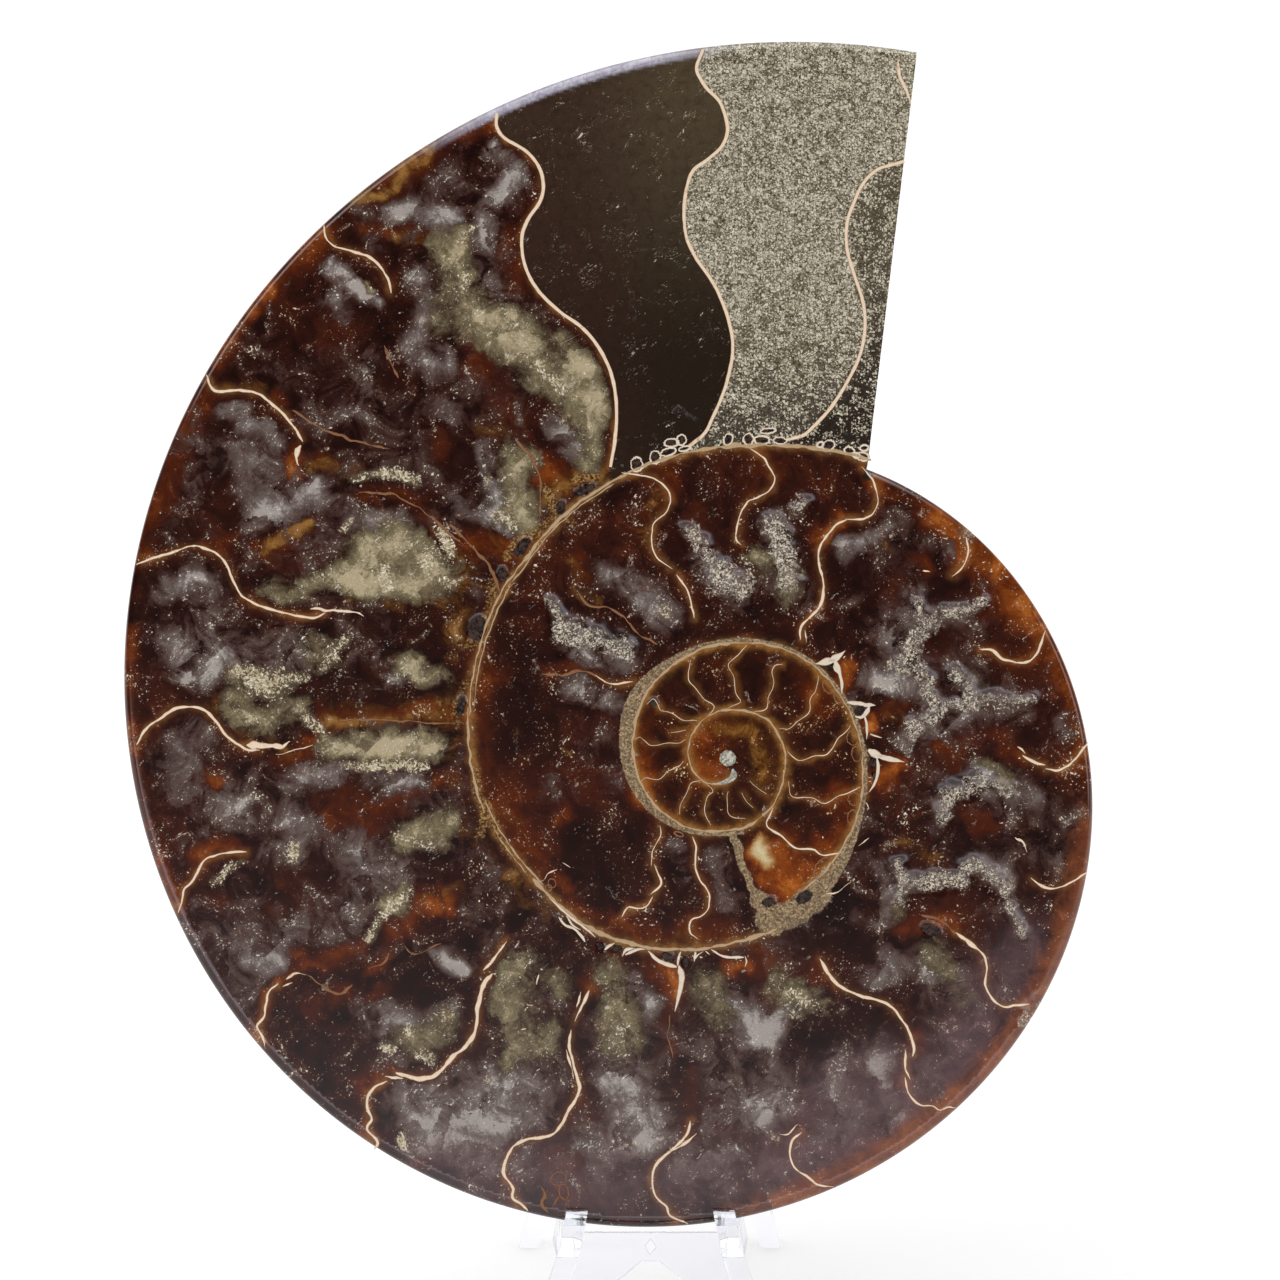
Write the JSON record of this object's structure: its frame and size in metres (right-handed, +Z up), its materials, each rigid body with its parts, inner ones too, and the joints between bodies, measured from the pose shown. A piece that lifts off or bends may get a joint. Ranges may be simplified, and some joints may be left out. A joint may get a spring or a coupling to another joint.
{
  "type": "ammonite fossil half on easel",
  "caption": "Polished ammonite half, sawn along its middle plane to show its chambers, leaning on a small clear moulded easel.",
  "frame": {"origin": "middle of the whole object's footprint, on the surface that the easel's four feet stand on", "axes": "+Z up; the sawn face looks towards -Y and leans back 12 degrees; the easel's rear legs reach towards +Y"},
  "size_m": [0.1474, 0.0834, 0.2018],
  "materials": {
    "fossil": "polished face, satin natural shell on the back",
    "clear_plastic": "clear, glossy, moulded"
  },
  "bodies": {
    "root": {"ammonite_half": "fossil", "easel": "clear_plastic"}
  },
  "joints": []
}
